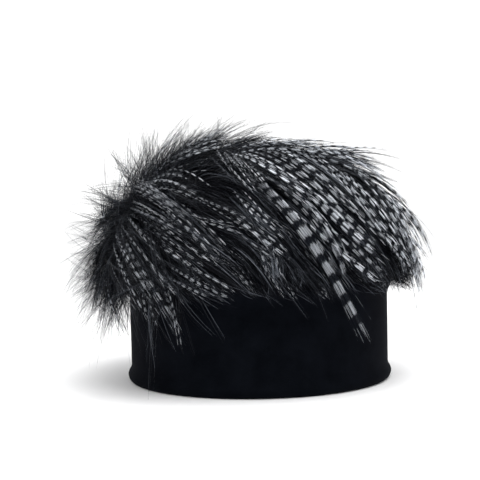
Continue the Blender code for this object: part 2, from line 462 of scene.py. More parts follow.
# %% [markdown]
# ## The comb
#
# The pile was combed before the photograph. In the front half it lies in overlapping rows that start
# along the top of the crown and sweep forward and down. In the back half it fans out of a whorl low at the
# back. Blender's groom brushes could comb it by hand, but a table can be read, mirrored and changed.
#
# Each row is one lock, from its root to its tip, as directions from the middle of the seam in degrees.
# lift is the tip's stand-off as a share of the pile's depth, width is a share of a usual lock, and bow
# bends its middle sideways. They are the locks of the part's solid. Two columns more are for the hair
# alone: silver is the share of strands with bars, and loose is how far they stray.

# %% Locks
Lock = namedtuple("Lock", "root_around root_up tip_around tip_up lift width bow silver loose")

FRONT_LOCKS = (
    Lock(-156, 80, -34, 54, 1.00, 1.0, -4, 0.36, 1.1),
    Lock(-16, 69, -10, 38, 1.25, 0.9, 4, 0.30, 1.5),
    Lock(-19, 74, -24, 29, 1.20, 0.9, -8, 0.36, 1.4),
    Lock(-35, 80, -46, 17, 1.15, 1.1, -8, 0.46, 1.0),
    Lock(-37, 55, -31, 4, 1.10, 1.1, -8, 0.44, 1.2),
    Lock(-7, 51, -27, 6, 1.20, 1.1, -10, 0.42, 1.1),
    Lock(-6, 34, -24, -7, 1.15, 1.0, -10, 0.49, 1.2),
    Lock(-127, 83, -53, 20, 1.05, 1.1, -8, 0.46, 1.0),
    Lock(-63, 49, -37, 5, 1.00, 1.1, -6, 0.46, 1.0),
    Lock(-130, 76, -58, 22, 0.95, 1.1, -6, 0.42, 1.0),
    Lock(-75, 43, -42, 3, 0.90, 1.1, -4, 0.34, 1.0),
    Lock(-104, 55, -47, -19, 0.50, 0.8, -4, 0.90, 1.0),
    Lock(-84, 48, -57, 1, 0.75, 0.9, 0, 0.70, 1.0),
    Lock(-106, 40, -69, 4, 0.75, 1.0, -2, 0.06, 1.0),
    Lock(-111, 33, -75, 6, 0.65, 0.9, 0, 0.08, 1.0),
    Lock(-56, 21, -38, -1, 0.85, 1.0, -3, 0.14, 1.0),
    Lock(-31, 25, -13, -5, 0.95, 1.1, 0, 0.45, 1.3),
    Lock(-89, 19, -85, 1, 0.55, 0.8, 0, 0.10, 1.0),
)

BACK_LOCKS = (
    Lock(-175, 36, -122, 57, 1.05, 1.0, 2, 0.18, 1.1),
    Lock(-175, 45, -107, 64, 1.05, 1.0, 0, 0.20, 1.1),
    Lock(-175, 36, -109, 51, 0.95, 1.0, 5, 0.30, 1.0),
    Lock(-175, 35, -111, 33, 0.85, 1.0, 4, 0.48, 1.0),
    Lock(-175, 32, -116, 20, 0.75, 0.9, 1, 0.30, 1.0),
    Lock(-158, 36, -97, 2, 0.75, 1.0, 2, 0.46, 1.0),
    Lock(-158, 28, -104, 6, 0.70, 1.0, 1, 0.42, 1.0),
    Lock(-175, 27, -114, -5, 0.80, 0.8, 6, 0.34, 1.0),
    Lock(-175, 22, -117, -18, 0.80, 0.9, 8, 0.30, 1.0),
    Lock(-175, 19, -126, -12, 0.80, 0.9, 7, 0.28, 1.0),
    Lock(-175, 13, -131, -13, 0.85, 0.9, 5, 0.24, 1.0),
    Lock(-174, 7, -139, -18, 0.95, 1.0, 3, 0.16, 1.0),
    Lock(-129, 36, -95, 25, 0.60, 0.9, -1, 0.10, 1.1),
    Lock(-123, 22, -93, 7, 0.60, 1.0, 1, 0.14, 1.1),
    Lock(-132, 10, -100, -5, 0.60, 1.0, 0, 0.20, 1.0),
    Lock(-176, 9, -153, -15, 1.05, 1.1, 0, 0.18, 1.1),
    Lock(-172, 22, -165, -6, 1.25, 1.1, 0, 0.14, 1.5),
    Lock(-170, 40, -158, 66, 1.45, 0.8, 0, 0.07, 2.6),
    Lock(-160, 54, -134, 78, 1.25, 0.8, 0, 0.20, 1.7),
)

MIDDLE_BACK = (
    Lock(176, 14, 180, -13, 1.20, 1.2, 0, 0.25, 1.3),
    Lock(171, 22, 177, -2, 1.30, 1.0, 0, 0.15, 1.8),
    Lock(-174, 34, 178, 10, 1.30, 1.0, 0, 0.19, 1.8),
    Lock(168, 38, 175, 16, 1.35, 0.9, 0, 0.09, 2.0),
    Lock(-170, 28, -177, 54, 1.35, 0.8, 0, 0.05, 2.8),
    Lock(-175, 14, 178, 37, 1.35, 0.9, 0, 0.06, 2.8),
    Lock(180, 52, 179, 78, 1.30, 1.0, 0, 0.12, 2.2),
    Lock(176, 72, 3, 78, 1.10, 1.1, 0, 0.22, 1.5),
)

MIDDLE_FRONT = (
    Lock(92, 86, 0, 55, 1.00, 1.2, 0, 0.47, 1.1),
    Lock(-8, 70, -1, 35, 1.10, 1.2, 0, 0.47, 1.0),
    Lock(6, 54, 1, 16, 1.15, 1.2, 0, 0.47, 1.0),
    Lock(-5, 38, -2, 3, 1.30, 1.2, 0, 0.47, 1.0),
    Lock(7, 24, 4, -8, 1.10, 1.2, 0, 0.47, 1.0),
)

MIDDLE_LOCKS = MIDDLE_BACK + MIDDLE_FRONT
near_locks = FRONT_LOCKS + BACK_LOCKS
print("locks in the tables:", len(near_locks), "beside,", len(MIDDLE_LOCKS), "along the middle")

# %% [markdown]
# ## Wisps and tufts
#
# Some hair lies over the locks and belongs to none. Most wisps are thin: they cross the locks, stand up
# from the top or hang over the band. One is the broad feather that runs out of the whorl, with the most
# even bars of all. Tufts are short and dark, in the places where rows of locks meet. They could be more
# locks, but they have no body of their own, so they are hair alone and no part of the solids.

# %% Wisps and tufts
WISPS = (
    Lock(-178, 27, -148, -29, 0.55, 0.5, 4, 0.00, 1.2),
    Lock(-157, 13, -172, -21, 0.95, 0.5, 4, 0.10, 1.2),
    Lock(-155, 9, -163, -23, 0.75, 0.5, -3, 0.10, 1.2),
    Lock(-133, 10, -121, -27, 0.55, 0.3, 2, 0.25, 1.2),
    Lock(-138, 7, -129, -16, 0.65, 0.3, -2, 0.25, 1.2),
    Lock(-7, 6, -22, -12, 1.15, 0.3, -9, 0.45, 1.0),
    Lock(-175, 37, -113, 22, 1.15, 1.5, 1, 1.20, 1.0),
    Lock(-168, 32, -163, 52, 1.45, 0.4, 0, 0.05, 1.6),
    Lock(-165, 44, -150, 64, 1.40, 0.4, 0, 0.05, 1.6),
    Lock(-155, 52, -138, 72, 1.35, 0.4, 0, 0.10, 1.6),
    Lock(-150, 60, -118, 80, 1.30, 0.4, 0, 0.15, 1.6),
    Lock(-10, 62, -6, 37, 1.90, 0.5, 0, 0.10, 1.3),
    Lock(-14, 55, -8, 30, 1.60, 0.5, 0, 0.10, 1.3),
    Lock(-6, 16, -6, 4, 1.25, 0.6, 0, 0.30, 1.3),
    Lock(-13, 12, -24, -2, 1.20, 0.6, 0, 0.40, 1.3),
    Lock(-30, 13, -35, 1, 1.10, 0.6, 0, 0.40, 1.3),
    Lock(-164, 73, -94, 37, 0.85, 0.5, -3, 0.50, 1.2),
    Lock(-126, 70, -88, 33, 0.85, 0.5, -2, 0.50, 1.2),
    Lock(-102, 63, -82, 31, 0.90, 0.5, -2, 0.30, 1.2),
)

TUFTS = (
    Lock(-42, 13, -47, 0, 0.80, 0.6, -2, 0.00, 1.0),
    Lock(-84, 18, -84, 0, 0.80, 0.8, 0, 0.00, 1.0),
    Lock(-76, 8, -76, 0, 0.70, 0.4, 0, 0.00, 1.0),
    Lock(-101, 46, -78, 17, 0.70, 0.9, -1, 0.15, 1.2),
    Lock(-99, 38, -79, 18, 0.70, 0.8, 0, 0.10, 1.2),
)

print("also", len(WISPS), "wisps and", len(TUFTS), "tufts a side")

# %% [markdown]
# ## From the table to paths
#
# The far side doesn't show in the photograph, so it is the near side mirrored, turned a little so that
# the two don't meet tip to tip. A lock's path is an arc over the crown between its two directions, as a
# plane takes between two cities, with a bow to one side.

# %% Lock arcs
FAR_SIDE_TURN = 2


def far_side(lock):
    return lock._replace(
        root_around=-lock.root_around,
        tip_around=FAR_SIDE_TURN - lock.tip_around,
        bow=-lock.bow,
    )


def lock_arrays(locks):
    """The table as arrays: root and tip directions, then the other columns."""
    rows = np.array(locks, float)
    roots = directions(rows[:, 0], rows[:, 1])
    tips = directions(rows[:, 2], rows[:, 3])
    return roots, tips, *rows[:, 4:].T


def arc(roots, tips, bow, share):
    """Directions on the arcs from roots (n, 3) to tips, for shares (n, m). A share may pass 1 a little."""
    angle = np.arccos(np.clip((roots * tips).sum(-1), -1, 1))[:, None]
    aside = unit(np.cross(roots, tips))[:, None, :]
    first = (np.sin((1 - share) * angle) / np.sin(angle))[..., None]
    second = (np.sin(share * angle) / np.sin(angle))[..., None]
    bend = (np.tan(np.radians(bow))[:, None] * np.sin(math.pi * share))[..., None]
    return unit(roots[:, None, :] * first + tips[:, None, :] * second + aside * bend)


far_front = tuple(far_side(lock) for lock in FRONT_LOCKS)
far_back = tuple(far_side(lock) for lock in BACK_LOCKS)
all_locks = near_locks + far_front + far_back + MIDDLE_LOCKS
print("locks all round:", len(all_locks))

# %% [markdown]
# ## Hair as ribbons
#
# A hair is a narrow ribbon, two triangles for each step along it. Blender's own hair curves would render
# as well, but only meshes leave Blender with the model. Each ribbon is rolled by a random angle, so a lock
# catches light in streaks, as real hair does. The UV map says what the dye needs: across is the kind of
# hair, from plain black to the brightest bars, and along is the distance from the root.

# %% Ribbons
FIBRE_SPAN = 200 * MM  # the distance from the root at which the map's second coordinate is 1
ROOM_PROUD = 8 * MM  # how far hair may stand out of the solids' box
ROOM_LOW = np.array(cad_low) + [-ROOM_PROUD, -ROOM_PROUD, 1 * MM]
ROOM_HIGH = np.array(cad_high) + ROOM_PROUD


def frames_of(paths):
    """For paths (n, m, 3): the direction across the lay and the one out of it, at each point."""
    along = unit(np.gradient(paths, axis=1))
    outward = unit(paths - SEAM_MIDDLE)
    across = unit(np.cross(along, outward))
    return across, np.cross(across, along)


def distances(paths):
    steps = np.linalg.norm(np.diff(paths, axis=1), axis=-1)
    return np.concatenate([np.zeros((len(paths), 1)), np.cumsum(steps, axis=1)], axis=1)


def in_room(paths):
    """Each hair that would leave the room round the solids is made shorter, in the same shape."""
    roots = paths[:, :1]
    way = paths - roots
    room = np.where(way > 0, ROOM_HIGH - roots, roots - ROOM_LOW)
    fits = np.min(room / np.maximum(np.abs(way), 1e-9), axis=(1, 2))
    return roots + way * np.clip(fits, 0.1, 1)[:, None, None]


def ribbons(name, paths, widths, kinds, shift, draw, material):
    """One mesh of ribbons. paths is (n, m, 3), widths and kinds (n, m), and shift (n) moves the bars."""
    paths = in_room(paths)
    count, steps = paths.shape[:2]
    across, lifted = frames_of(paths)
    roll = draw.uniform(-1.1, 1.1, (count, 1, 1))
    side = across * np.cos(roll) + lifted * np.sin(roll)
    half = widths[..., None] / 2
    points = np.stack([paths - side * half, paths + side * half], 2).reshape(-1, 3)
    along = (distances(paths) + shift[:, None]) / FIBRE_SPAN
    uv = np.repeat(np.stack([kinds, along], -1)[:, :, None, :], 2, axis=2).reshape(-1, 2)
    start = (np.arange(count)[:, None] * steps + np.arange(steps - 1)[None, :]).reshape(-1) * 2
    quads = np.stack([start, start + 1, start + 3, start + 2], -1)
    made = mesh_object(name, points, quads, material, np.clip(uv, 0, 1))
    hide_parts("fur_pile")
    print(name + ":", count, "hairs,", 2 * len(quads), "triangles")
    return made


def taper(steps, widest, root=0.7, tip=0.2):
    """Widths along a hair: it swells from the root and runs out to a point."""
    share = np.linspace(0, 1, steps)
    return widest * (root + (1 - root) * smooth_step(share * 3)) * (1 - (1 - tip) * share**3)


print("a hair of 12 steps has", 2 * 11, "triangles")

# %% [markdown]
# ## The dye
#
# Each hair was dyed in bars before the cloth was knitted: black at the root, then silver and black by
# turns, which grow longer towards the tip. A picture could be painted for it, but it would need to be huge
# to be sharp on every hair. So the bars are worked out in the shader. A logarithm of the distance gives
# bars that grow, and the fraction of it says where in a bar the point is.
#
# The kind says how bright a hair's bars are. Below 0.45 a hair has no bars: most are black throughout, and
# a few are grey.

# %% The fur's material
BAR_FIRST = 2.2 * MM
BAR_GROWTH = 0.085
BAR_LIGHT_SHARE = 0.56
BAR_EDGE = 0.07  # how far a silver bar's soft end reaches past it, as a share of the two bars
BAR_EDGE_SLOPE = 13.0
BLACK_ROOT = (9 * MM, 18 * MM)
KIND_BARRED = 0.45
KIND_BRIGHT = 0.95
SILVER = (0.82, 0.86, 0.92, 1)
BLACK = (0.0012, 0.0015, 0.0028, 1)
GREY = (0.16, 0.175, 0.205, 1)
BETWEEN_BARS = (0.008, 0.0095, 0.014, 1)


def smooth_range(tree, value, low, high):
    """0 below low, 1 above high, and a smooth step between them."""
    made = node(tree, "ShaderNodeMapRange", interpolation_type="SMOOTHSTEP")
    made.inputs["From Min"].default_value = low
    made.inputs["From Max"].default_value = high
    tree.links.new(value, made.inputs["Value"])
    return made.outputs["Result"]


def soft_edge(tree, distance):
    return calc(tree, "SMOOTH_MIN", calc(tree, "MULTIPLY", distance, BAR_EDGE_SLOPE), 1.0, 0.2)


def bar_pattern(tree, along):
    """1 in the silver bars and 0 in the black ones, from the map's distance to the root."""
    grown = calc(tree, "MULTIPLY_ADD", along, FIBRE_SPAN * BAR_GROWTH / BAR_FIRST, 1.0)
    phase = calc(tree, "DIVIDE", calc(tree, "LOGARITHM", grown, math.e), BAR_GROWTH)
    in_bar = calc(tree, "FRACT", phase)
    rise = soft_edge(tree, in_bar)
    fall = soft_edge(tree, calc(tree, "SUBTRACT", BAR_LIGHT_SHARE + BAR_EDGE, in_bar))
    return calc(tree, "MAXIMUM", calc(tree, "MINIMUM", rise, fall), 0.0)


def fur_material():
    made = plain_material("barred fur", (0.02, 0.021, 0.026), 0.36, 0.045)
    tree = made.node_tree
    fibre = node(tree, "ShaderNodeUVMap", uv_map="OFBake")
    split = node(tree, "ShaderNodeSeparateXYZ")
    tree.links.new(fibre.outputs["UV"], split.inputs["Vector"])
    kind, along = split.outputs["X"], split.outputs["Y"]
    past_root = smooth_range(tree, along, BLACK_ROOT[0] / FIBRE_SPAN, BLACK_ROOT[1] / FIBRE_SPAN)
    bar = calc(tree, "MULTIPLY", bar_pattern(tree, along), past_root)
    silver = calc(tree, "MULTIPLY", bar, smooth_range(tree, kind, KIND_BARRED, KIND_BRIGHT))
    plain = node(tree, "ShaderNodeValToRGB")
    plain.color_ramp.elements[0].color = BLACK
    plain.color_ramp.elements[1].position = 0.42
    plain.color_ramp.elements[1].color = GREY
    plain.color_ramp.elements.new(0.46).color = BETWEEN_BARS
    tree.links.new(kind, plain.inputs["Fac"])
    mix = node(tree, "ShaderNodeMix", data_type="RGBA")
    mix.inputs["B"].default_value = SILVER
    tree.links.new(silver, mix.inputs["Factor"])
    tree.links.new(plain.outputs["Color"], mix.inputs["A"])
    tree.links.new(mix.outputs["Result"], tree.nodes["Principled BSDF"].inputs["Base Color"])
    return made


fur = fur_material()
far_bar = BAR_FIRST + BAR_GROWTH * 80 * MM
print("a silver and a black bar at the root:", BAR_FIRST / MM, "mm, at 80 mm:", round(far_bar / MM, 1))

# %% [markdown]
# ## The kinds of hair
#
# In the real pile the barred hairs differ in brightness, and each is black at its root and often at its
# tip too. Here every wisp draws a kind, and the kind falls to that of black hair at both ends.

# %% Kinds of hair
DULLEST_BAR = 0.56
GREYEST = 0.42


def kinds_of(draw, barred, brightest=0.92, blackness=12.0):
    """A kind for each wisp. A high blackness leaves few grey hairs among the black ones."""
    black = GREYEST * draw.uniform(0, 1, len(barred)) ** blackness
    return np.where(barred, draw.uniform(DULLEST_BAR, brightest, len(barred)), black)


def dye(kind, share, black_root=0.03, black_tip=0.86):
    """The kind at each point along the hairs, which are black at the root and the tip."""
    plain = 1 - smooth_step((share - black_root) / 0.1) + smooth_step((share - black_tip) / 0.14)
    undyed = np.where(kind > KIND_BARRED, 0.46, np.minimum(kind, 0.03))
    return kind[:, None] * (1 - plain) + undyed[:, None] * plain


along_hair = dye(np.array([0.9]), np.array([[0.0, 0.5, 1.0]]))[0]
print("kind at the root, the middle and the tip of a bright hair:", [round(x, 2) for x in along_hair])

# %% [markdown]
# ## The strands of a lock
#
# A lock of the real fur is a bundle of strands. The bars of one strand line up, because its hairs are as
# far from their roots as each other, and black strands between the barred ones part them. Hair scattered
# evenly over a lock would blur the bars to grey. So strands are placed first, and a barred strand that
# runs along another one loses its bars.
#
# A lock whose silver is above a half becomes a feather: its strands come close together, and their bars
# line up right across it.

# %% Strands
Strands = namedtuple("Strands", "lock barred together across half turn length up radius shift")
SIZE_ALONG = np.array([0.0, 0.2, 0.45, 0.7, 0.88, 1.0, 1.3])
SIZE_SHARE = np.array([0.85, 1.0, 1.0, 0.9, 0.75, 0.6, 0.5])
USUAL_RADIUS = 100 * MM  # turns the angle between two strands into a distance
STRAND_TURN = 1.5 * MM
STRAND_FULLNESS = 1.35
FEATHER_SILVER = 0.5
FEATHER_BLEND = 0.25
FEATHER_SHIFT = 18


def strand_places(draw, silver, most_barred, dark):
    """Which lock each strand is in, whether it has bars, and its place across the lock, from -1 to 1."""
    barred = np.round(silver * most_barred * np.where(silver > FEATHER_SILVER, 0.55, 1)).astype(int)
    of_lock = np.repeat(np.arange(len(silver)), barred + dark)
    order = np.concatenate([np.arange(count + dark) for count in barred])
    has_bars = order < barred[of_lock]
    spaced = (order + 0.5 + draw.uniform(-0.35, 0.35, len(order))) / np.maximum(barred[of_lock], 1) * 2 - 1
    return of_lock, has_bars, np.where(has_bars, spaced, draw.uniform(-1, 1, len(order)))


def parted(ways, barred, first, apart):
    """Which barred strands keep their bars: none runs nearer than this to one before it."""
    keep = first & barred
    for one in np.flatnonzero(barred & ~first):
        kept = ways[keep].reshape(-1, 3)
        if len(kept):
            nearest = np.arccos(np.clip((ways[one] @ kept.T).max(1), -1, 1)) * USUAL_RADIUS
            if np.mean(nearest < apart) > 0.5:
                continue
        keep[one] = True
    return keep


def strand_ways(locks, lock, across, half, turn):
    """Seven directions along each strand, to see which strands run side by side."""
    roots, tips, _, _, bow, _, _ = lock_arrays(locks)
    line = np.broadcast_to(np.linspace(0.2, 0.95, 7), (len(lock), 7))
    centre = over_crown(arc(roots[lock], tips[lock], bow[lock], line), 0 * line)
    offset = across[:, None] * half[:, None] * np.interp(line, SIZE_ALONG, SIZE_SHARE)
    offset = offset + turn[0][:, None] * line**1.7
    return unit(centre + frames_of(centre)[0] * offset[..., None] - SEAM_MIDDLE)


def make_strands(draw, locks, strands, apart, dark_length, grown):
    """The strands of some locks, as arrays. strands is (the most with bars, those without) in a lock."""
    _, _, _, width, _, silver, loose = lock_arrays(locks)
    lock, barred, across = strand_places(draw, silver, *strands)
    total = len(lock)
    wild = loose[lock]
    together = smooth_step((silver[lock] - FEATHER_SILVER) / FEATHER_BLEND)
    turn = draw.normal(0, 1, (2, total)) * STRAND_TURN * wild**1.5 * (1 - 0.6 * together)
    half_width = width * LOCK_WIDTH / 2 * (0.5 + 0.5 * loose) * STRAND_FULLNESS
    half = half_width[lock] * (1 - 0.75 * together)
    ways = strand_ways(locks, lock, across, half, turn)
    barred = parted(ways, barred, together > 0.5, apart)
    length = np.where(barred, draw.uniform(0.74, 1.05, total), draw.uniform(0.5, dark_length, total))
    arch = np.sqrt(np.clip(1 - across**2, 0, 1))
    up = np.where(barred, arch * draw.uniform(0.45, 1.1, total), draw.uniform(-1, 0.5, total))
    radius = np.where(barred, draw.uniform(0.4, 0.9, total), draw.uniform(0.8, 2.4, total)) * MM * wild
    phase = draw.uniform(0, ANY_PHASE, len(locks))[lock]
    drift = 2.2 * np.sin(phase + 2 * across) + 2.4 * draw.uniform(0, 1, total)
    shift = grown + (drift * (1 - 0.8 * together) + FEATHER_SHIFT * together) * MM
    return Strands(lock, barred, together, across, half, turn, length, up, radius, shift)


sample = strand_places(np.random.default_rng(0), np.array([FRONT_LOCKS[0].silver]), 21, 15)
print("the first front lock:", len(sample[1]), "strands,", sample[1].sum(), "with bars")

# %% [markdown]
# ## The hairs of a strand
#
# A strand is a few wisps, and a wisp is three hairs that touch nearly all the way. On the real fur few
# hairs reach the full length, so a lock runs out to wisps. Each hair here is its lock's middle line with
# two offsets: aside, across the lay of the lock, and above, out of the cloth.

# %% Hairs of a strand
WISP_HAIRS = 3
HAIR_WIDTH = 0.34 * MM
HAIR_SPREAD = 0.13 * MM
FELT_PROUD = 0.4 * MM
BURIED = 1.6 * MM
ROOT_SHARE = 0.14
FEATHER_PROUD = 5 * MM
SWAY = 0.6 * MM
STRAY = 5 * MM
TURN_UP = 1.5 * MM


def lock_middles(locks, which, share, together):
    """The middle line of each hair's lock, which rises from the cloth to the tip's stand-off."""
    roots, tips, lift, _, bow, _, _ = lock_arrays(locks)
    ways = arc(roots[which], tips[which], bow[which], share)
    out = ROOT_DEPTH + (lift[which, None] * PILE_DEPTH - ROOT_DEPTH) * share**0.75
    on_top = FEATHER_PROUD * together * np.sin(math.pi * np.minimum(share, 1))
    return over_crown(ways, (out - BURIED) * smooth_step(share / ROOT_SHARE) + on_top + FELT_PROUD)


def hair_offsets(draw, strands, strand, wisp, share, step, loose):
    """How far each hair is aside of its lock's middle line, and how far above it."""
    count = len(strand)
    total = len(strands.lock)
    wisps = wisp[-1] + 1
    pointed = 1 - 0.35 * strands.together[strand][:, None] * share**2
    size = np.interp(share, SIZE_ALONG, SIZE_SHARE) * pointed
    drawn_in = 1 - 0.5 * smooth_step((share - 0.1) / 0.8) + 0.5 * smooth_step((step - 0.8) / 0.2)
    drawn_in = drawn_in * pointed
    angle = draw.uniform(0, 2 * math.pi, wisps)[wisp, None]
    spread = np.sqrt(draw.uniform(0, 1, wisps))[wisp, None] * strands.radius[strand][:, None] * drawn_in
    beside = draw.normal(0, HAIR_SPREAD, (2, count, 1))
    bend = draw.uniform(0, ANY_PHASE, total)[strand][:, None]
    sway = SWAY * np.sin(bend + share * draw.uniform(3, 7, total)[strand][:, None]) * share
    stray = draw.normal(0, 1, (count, 2)) * (draw.uniform(0, 1, count) ** 6)[:, None] * loose * STRAY
    turn = strands.turn[:, strand, None] * share**1.7
    rise = smooth_step(share / ROOT_SHARE)
    half_thickness = LOCK_THICKNESS / 2 * (0.4 + 0.6 * loose)
    aside = strands.across[strand][:, None] * strands.half[strand][:, None] * size
    aside = aside + spread * np.cos(angle) + sway
    aside = aside + stray[:, :1] * share**1.5 + turn[0] + beside[0]
    above = strands.up[strand][:, None] * half_thickness * size * rise
    above = above + spread * np.sin(angle) * rise * 0.7
    above = above + np.abs(stray[:, 1:]) * share**1.5
    above = above + np.clip(turn[1], -TURN_UP, TURN_UP * loose**2) + beside[1]
    return aside, above


print("a wisp has", WISP_HAIRS, "hairs, each", round(HAIR_WIDTH / MM, 2), "mm wide")

# %% [markdown]
# ## The locks' hair
#
# Now the tables are combed into hair. The sides differ on the real hat: in front the bars run out to the
# tips and are long, and at the back they are short and fine. grown moves the bars along each hair, so
# that a lock starts among the longer ones. ends is where along a lock its bars begin and end. apart is
# how near two barred strands may run. The near sides get the most hairs, as the photograph is of them.

# %% Lock hair
FRONT_LOOK = {"grown": 28 * MM, "ends": (0.04, 1.0), "brightest": 1.0}
BACK_LOOK = {"ends": (0.12, 0.97), "brightest": 1.0, "apart": 4 * MM, "blackness": 14.0}


def both_sides(locks):
    return locks + tuple(far_side(lock) for lock in locks)


def lock_hair(
    name,
    locks,
    strands,
    wisps,
    steps,
    seed,
    grown=0.0,
    ends=(0.12, 0.88),
    brightest=0.92,
    apart=3.2 * MM,
    thin=1.0,
    dark_length=1.02,
    blackness=8.0,
):
    """Hair for some locks. wisps is how many there are in a strand (with bars, without bars)."""
    draw = np.random.default_rng(seed)
    made = make_strands(draw, locks, strands, apart, dark_length, grown)
    wisp_strand = np.repeat(np.arange(len(made.lock)), np.where(made.barred, *wisps))
    wisp = np.repeat(np.arange(len(wisp_strand)), WISP_HAIRS)
    strand = wisp_strand[wisp]
    which = made.lock[strand]
    together = made.together[strand][:, None]
    loose = lock_arrays(locks)[-1][which][:, None]
    wisp_length = made.length[wisp_strand] * (1 - 0.36 * draw.uniform(0, 1, len(wisp_strand)) ** 2.5)
    length = wisp_length[wisp] * draw.uniform(0.92, 1, len(wisp))
    step = np.linspace(0, 1, steps)[None, :]
    share = length[:, None] * step
    middle = lock_middles(locks, which, share, together)
    across, lifted = frames_of(middle)
    aside, above = hair_offsets(draw, made, strand, wisp, share, step, loose)
    paths = middle + across * aside[..., None] + lifted * above[..., None]
    mixed = draw.uniform(0, 1, len(wisp_strand))
    has_bars = np.where(made.barred[wisp_strand], mixed < 0.85, mixed < 0.02)
    kinds = kinds_of(draw, has_bars, brightest - 0.2 * made.together[wisp_strand], blackness)
    kinds = dye(kinds[wisp], share, *ends)
    kinds = kinds - 0.05 * together * share**2 * (kinds > 0.5)
    shift = made.shift[strand] + draw.normal(0, 0.25 * MM, len(wisp))
    widths = taper(steps, thin * HAIR_WIDTH)[None, :] * draw.uniform(0.6, 1.25, (len(wisp), 1))
    return ribbons(name, paths, widths, kinds, shift, draw, fur)


fur_pieces = [
    lock_hair(
        "fur_front_near", FRONT_LOCKS, (21, 15), (6, 4), 12, 103,
        apart=2.9 * MM, dark_length=0.9, **FRONT_LOOK,
    ),
    lock_hair("fur_back_near", BACK_LOCKS, (20, 15), (6, 5), 12, 206, thin=0.82, **BACK_LOOK),
    lock_hair(
        "fur_front_far", far_front, (19, 9), (4, 3), 11, 23,
        apart=2.9 * MM, dark_length=0.9, **FRONT_LOOK,
    ),
    lock_hair("fur_back_far", far_back, (17, 9), (4, 3), 11, 25, **BACK_LOOK),
    lock_hair(
        "fur_middle_back", MIDDLE_BACK, (15, 20), (5, 5), 12, 24,
        grown=8 * MM, ends=(0.14, 0.9), brightest=1.0, apart=3.6 * MM, thin=0.85,
    ),
    lock_hair(
        "fur_middle_front", MIDDLE_FRONT, (19, 12), (6, 4), 12, 27,
        apart=2.6 * MM, dark_length=0.8, **FRONT_LOOK,
    ),
    lock_hair("fur_wisps", both_sides(WISPS), (8, 3), (3, 3), 10, 26, apart=1 * MM, blackness=14.0),
    lock_hair(
        "fur_tufts", both_sides(TUFTS), (8, 12), (3, 4), 9, 28,
        grown=12 * MM, ends=(0.0, 1.0), brightest=0.8, apart=1 * MM, thin=0.8, blackness=2.0,
    ),
]

# %% [markdown]
# ## The pile between the locks
#
# Under and between the locks the cloth is covered too. A table for this hair would be thousands of rows
# long, so it has none: it flows the way the nearest locks do. Each hair takes small steps over the crown,
# and at each step its direction is the average of the locks' directions nearby.

# %% Flow
FLOW_NEARNESS = math.radians(9)
FLOW_SHARES = np.linspace(0.05, 0.95, 9)
FLOW_RADIUS = 90 * MM  # turns a hair's length into an angle round the middle of the seam
A_LITTLE_DOWN = np.array([0, 0, -1e-6])  # the flow where no lock is near


def flow_samples(locks):
    """Points along all the locks, and the direction in which each lock runs there."""
    roots, tips, _, _, bow, _, _ = lock_arrays(locks)
    share = np.broadcast_to(FLOW_SHARES, (len(locks), len(FLOW_SHARES)))
    here = arc(roots, tips, bow, share)
    ahead = arc(roots, tips, bow, share + 0.02)
    return here.reshape(-1, 3), unit(ahead - here).reshape(-1, 3)


flow_at, flow_way = flow_samples(all_locks)


def flow(ways):
    """The direction in which the pile lies at each of these directions (n, 3)."""
    nearness = np.exp((ways @ flow_at.T - 1) / FLOW_NEARNESS**2)
    pull = nearness @ flow_way + A_LITTLE_DOWN
    pull -= (pull * ways).sum(-1, keepdims=True) * ways
    return unit(pull)


def comb(roots, length, steps, lowest):
    """Directions (n, steps, 3) of hairs that follow the flow. The second pass shortens the hairs that
    went below their lowest angle in the first."""
    for attempt in range(2):
        ways = [roots]
        step = (length / (steps - 1) / FLOW_RADIUS)[:, None]
        for _ in range(steps - 1):
            ways.append(unit(ways[-1] + flow(ways[-1]) * step))
        ways = np.stack(ways, 1)
        up = np.degrees(np.arcsin(np.clip(ways[..., 2], -1, 1)))
        reached = (up > lowest[:, None]).sum(1) / steps
        if attempt == 0:
            length = length * np.clip(reached, 0.12, 1)
    return ways


print("the pile follows", len(flow_at), "points on the locks")

# %% [markdown]
# ## Two layers of pile
#
# The pile of the real cloth has long guard hair and short, thick hair below it. fur_cover is the long
# layer and lies between the locks. fur_under is the short one and fills the rest. Both grow in clumps,
# because single hairs spread evenly look like felt. Round the whorl the pile stands up more.

# %% Pile
WHORL_AROUND = 180
WHORL_UP = 32
WHORL = directions(np.array([WHORL_AROUND]), np.array([WHORL_UP]))[0]
WHORL_FULLNESS = 0.75
WHORL_WIDTH = 0.18
CLUMP_SPREAD = 0.04
LOWEST_START = 0.004


def scattered(draw, count, low=0.5, high=90):
    """Directions spread evenly over the crown between two angles up from the seam, in degrees."""
    around = draw.uniform(-180, 180, count)
    height = draw.uniform(math.sin(math.radians(low)), math.sin(math.radians(high)), count)
    return directions(around, np.degrees(np.arcsin(height)))


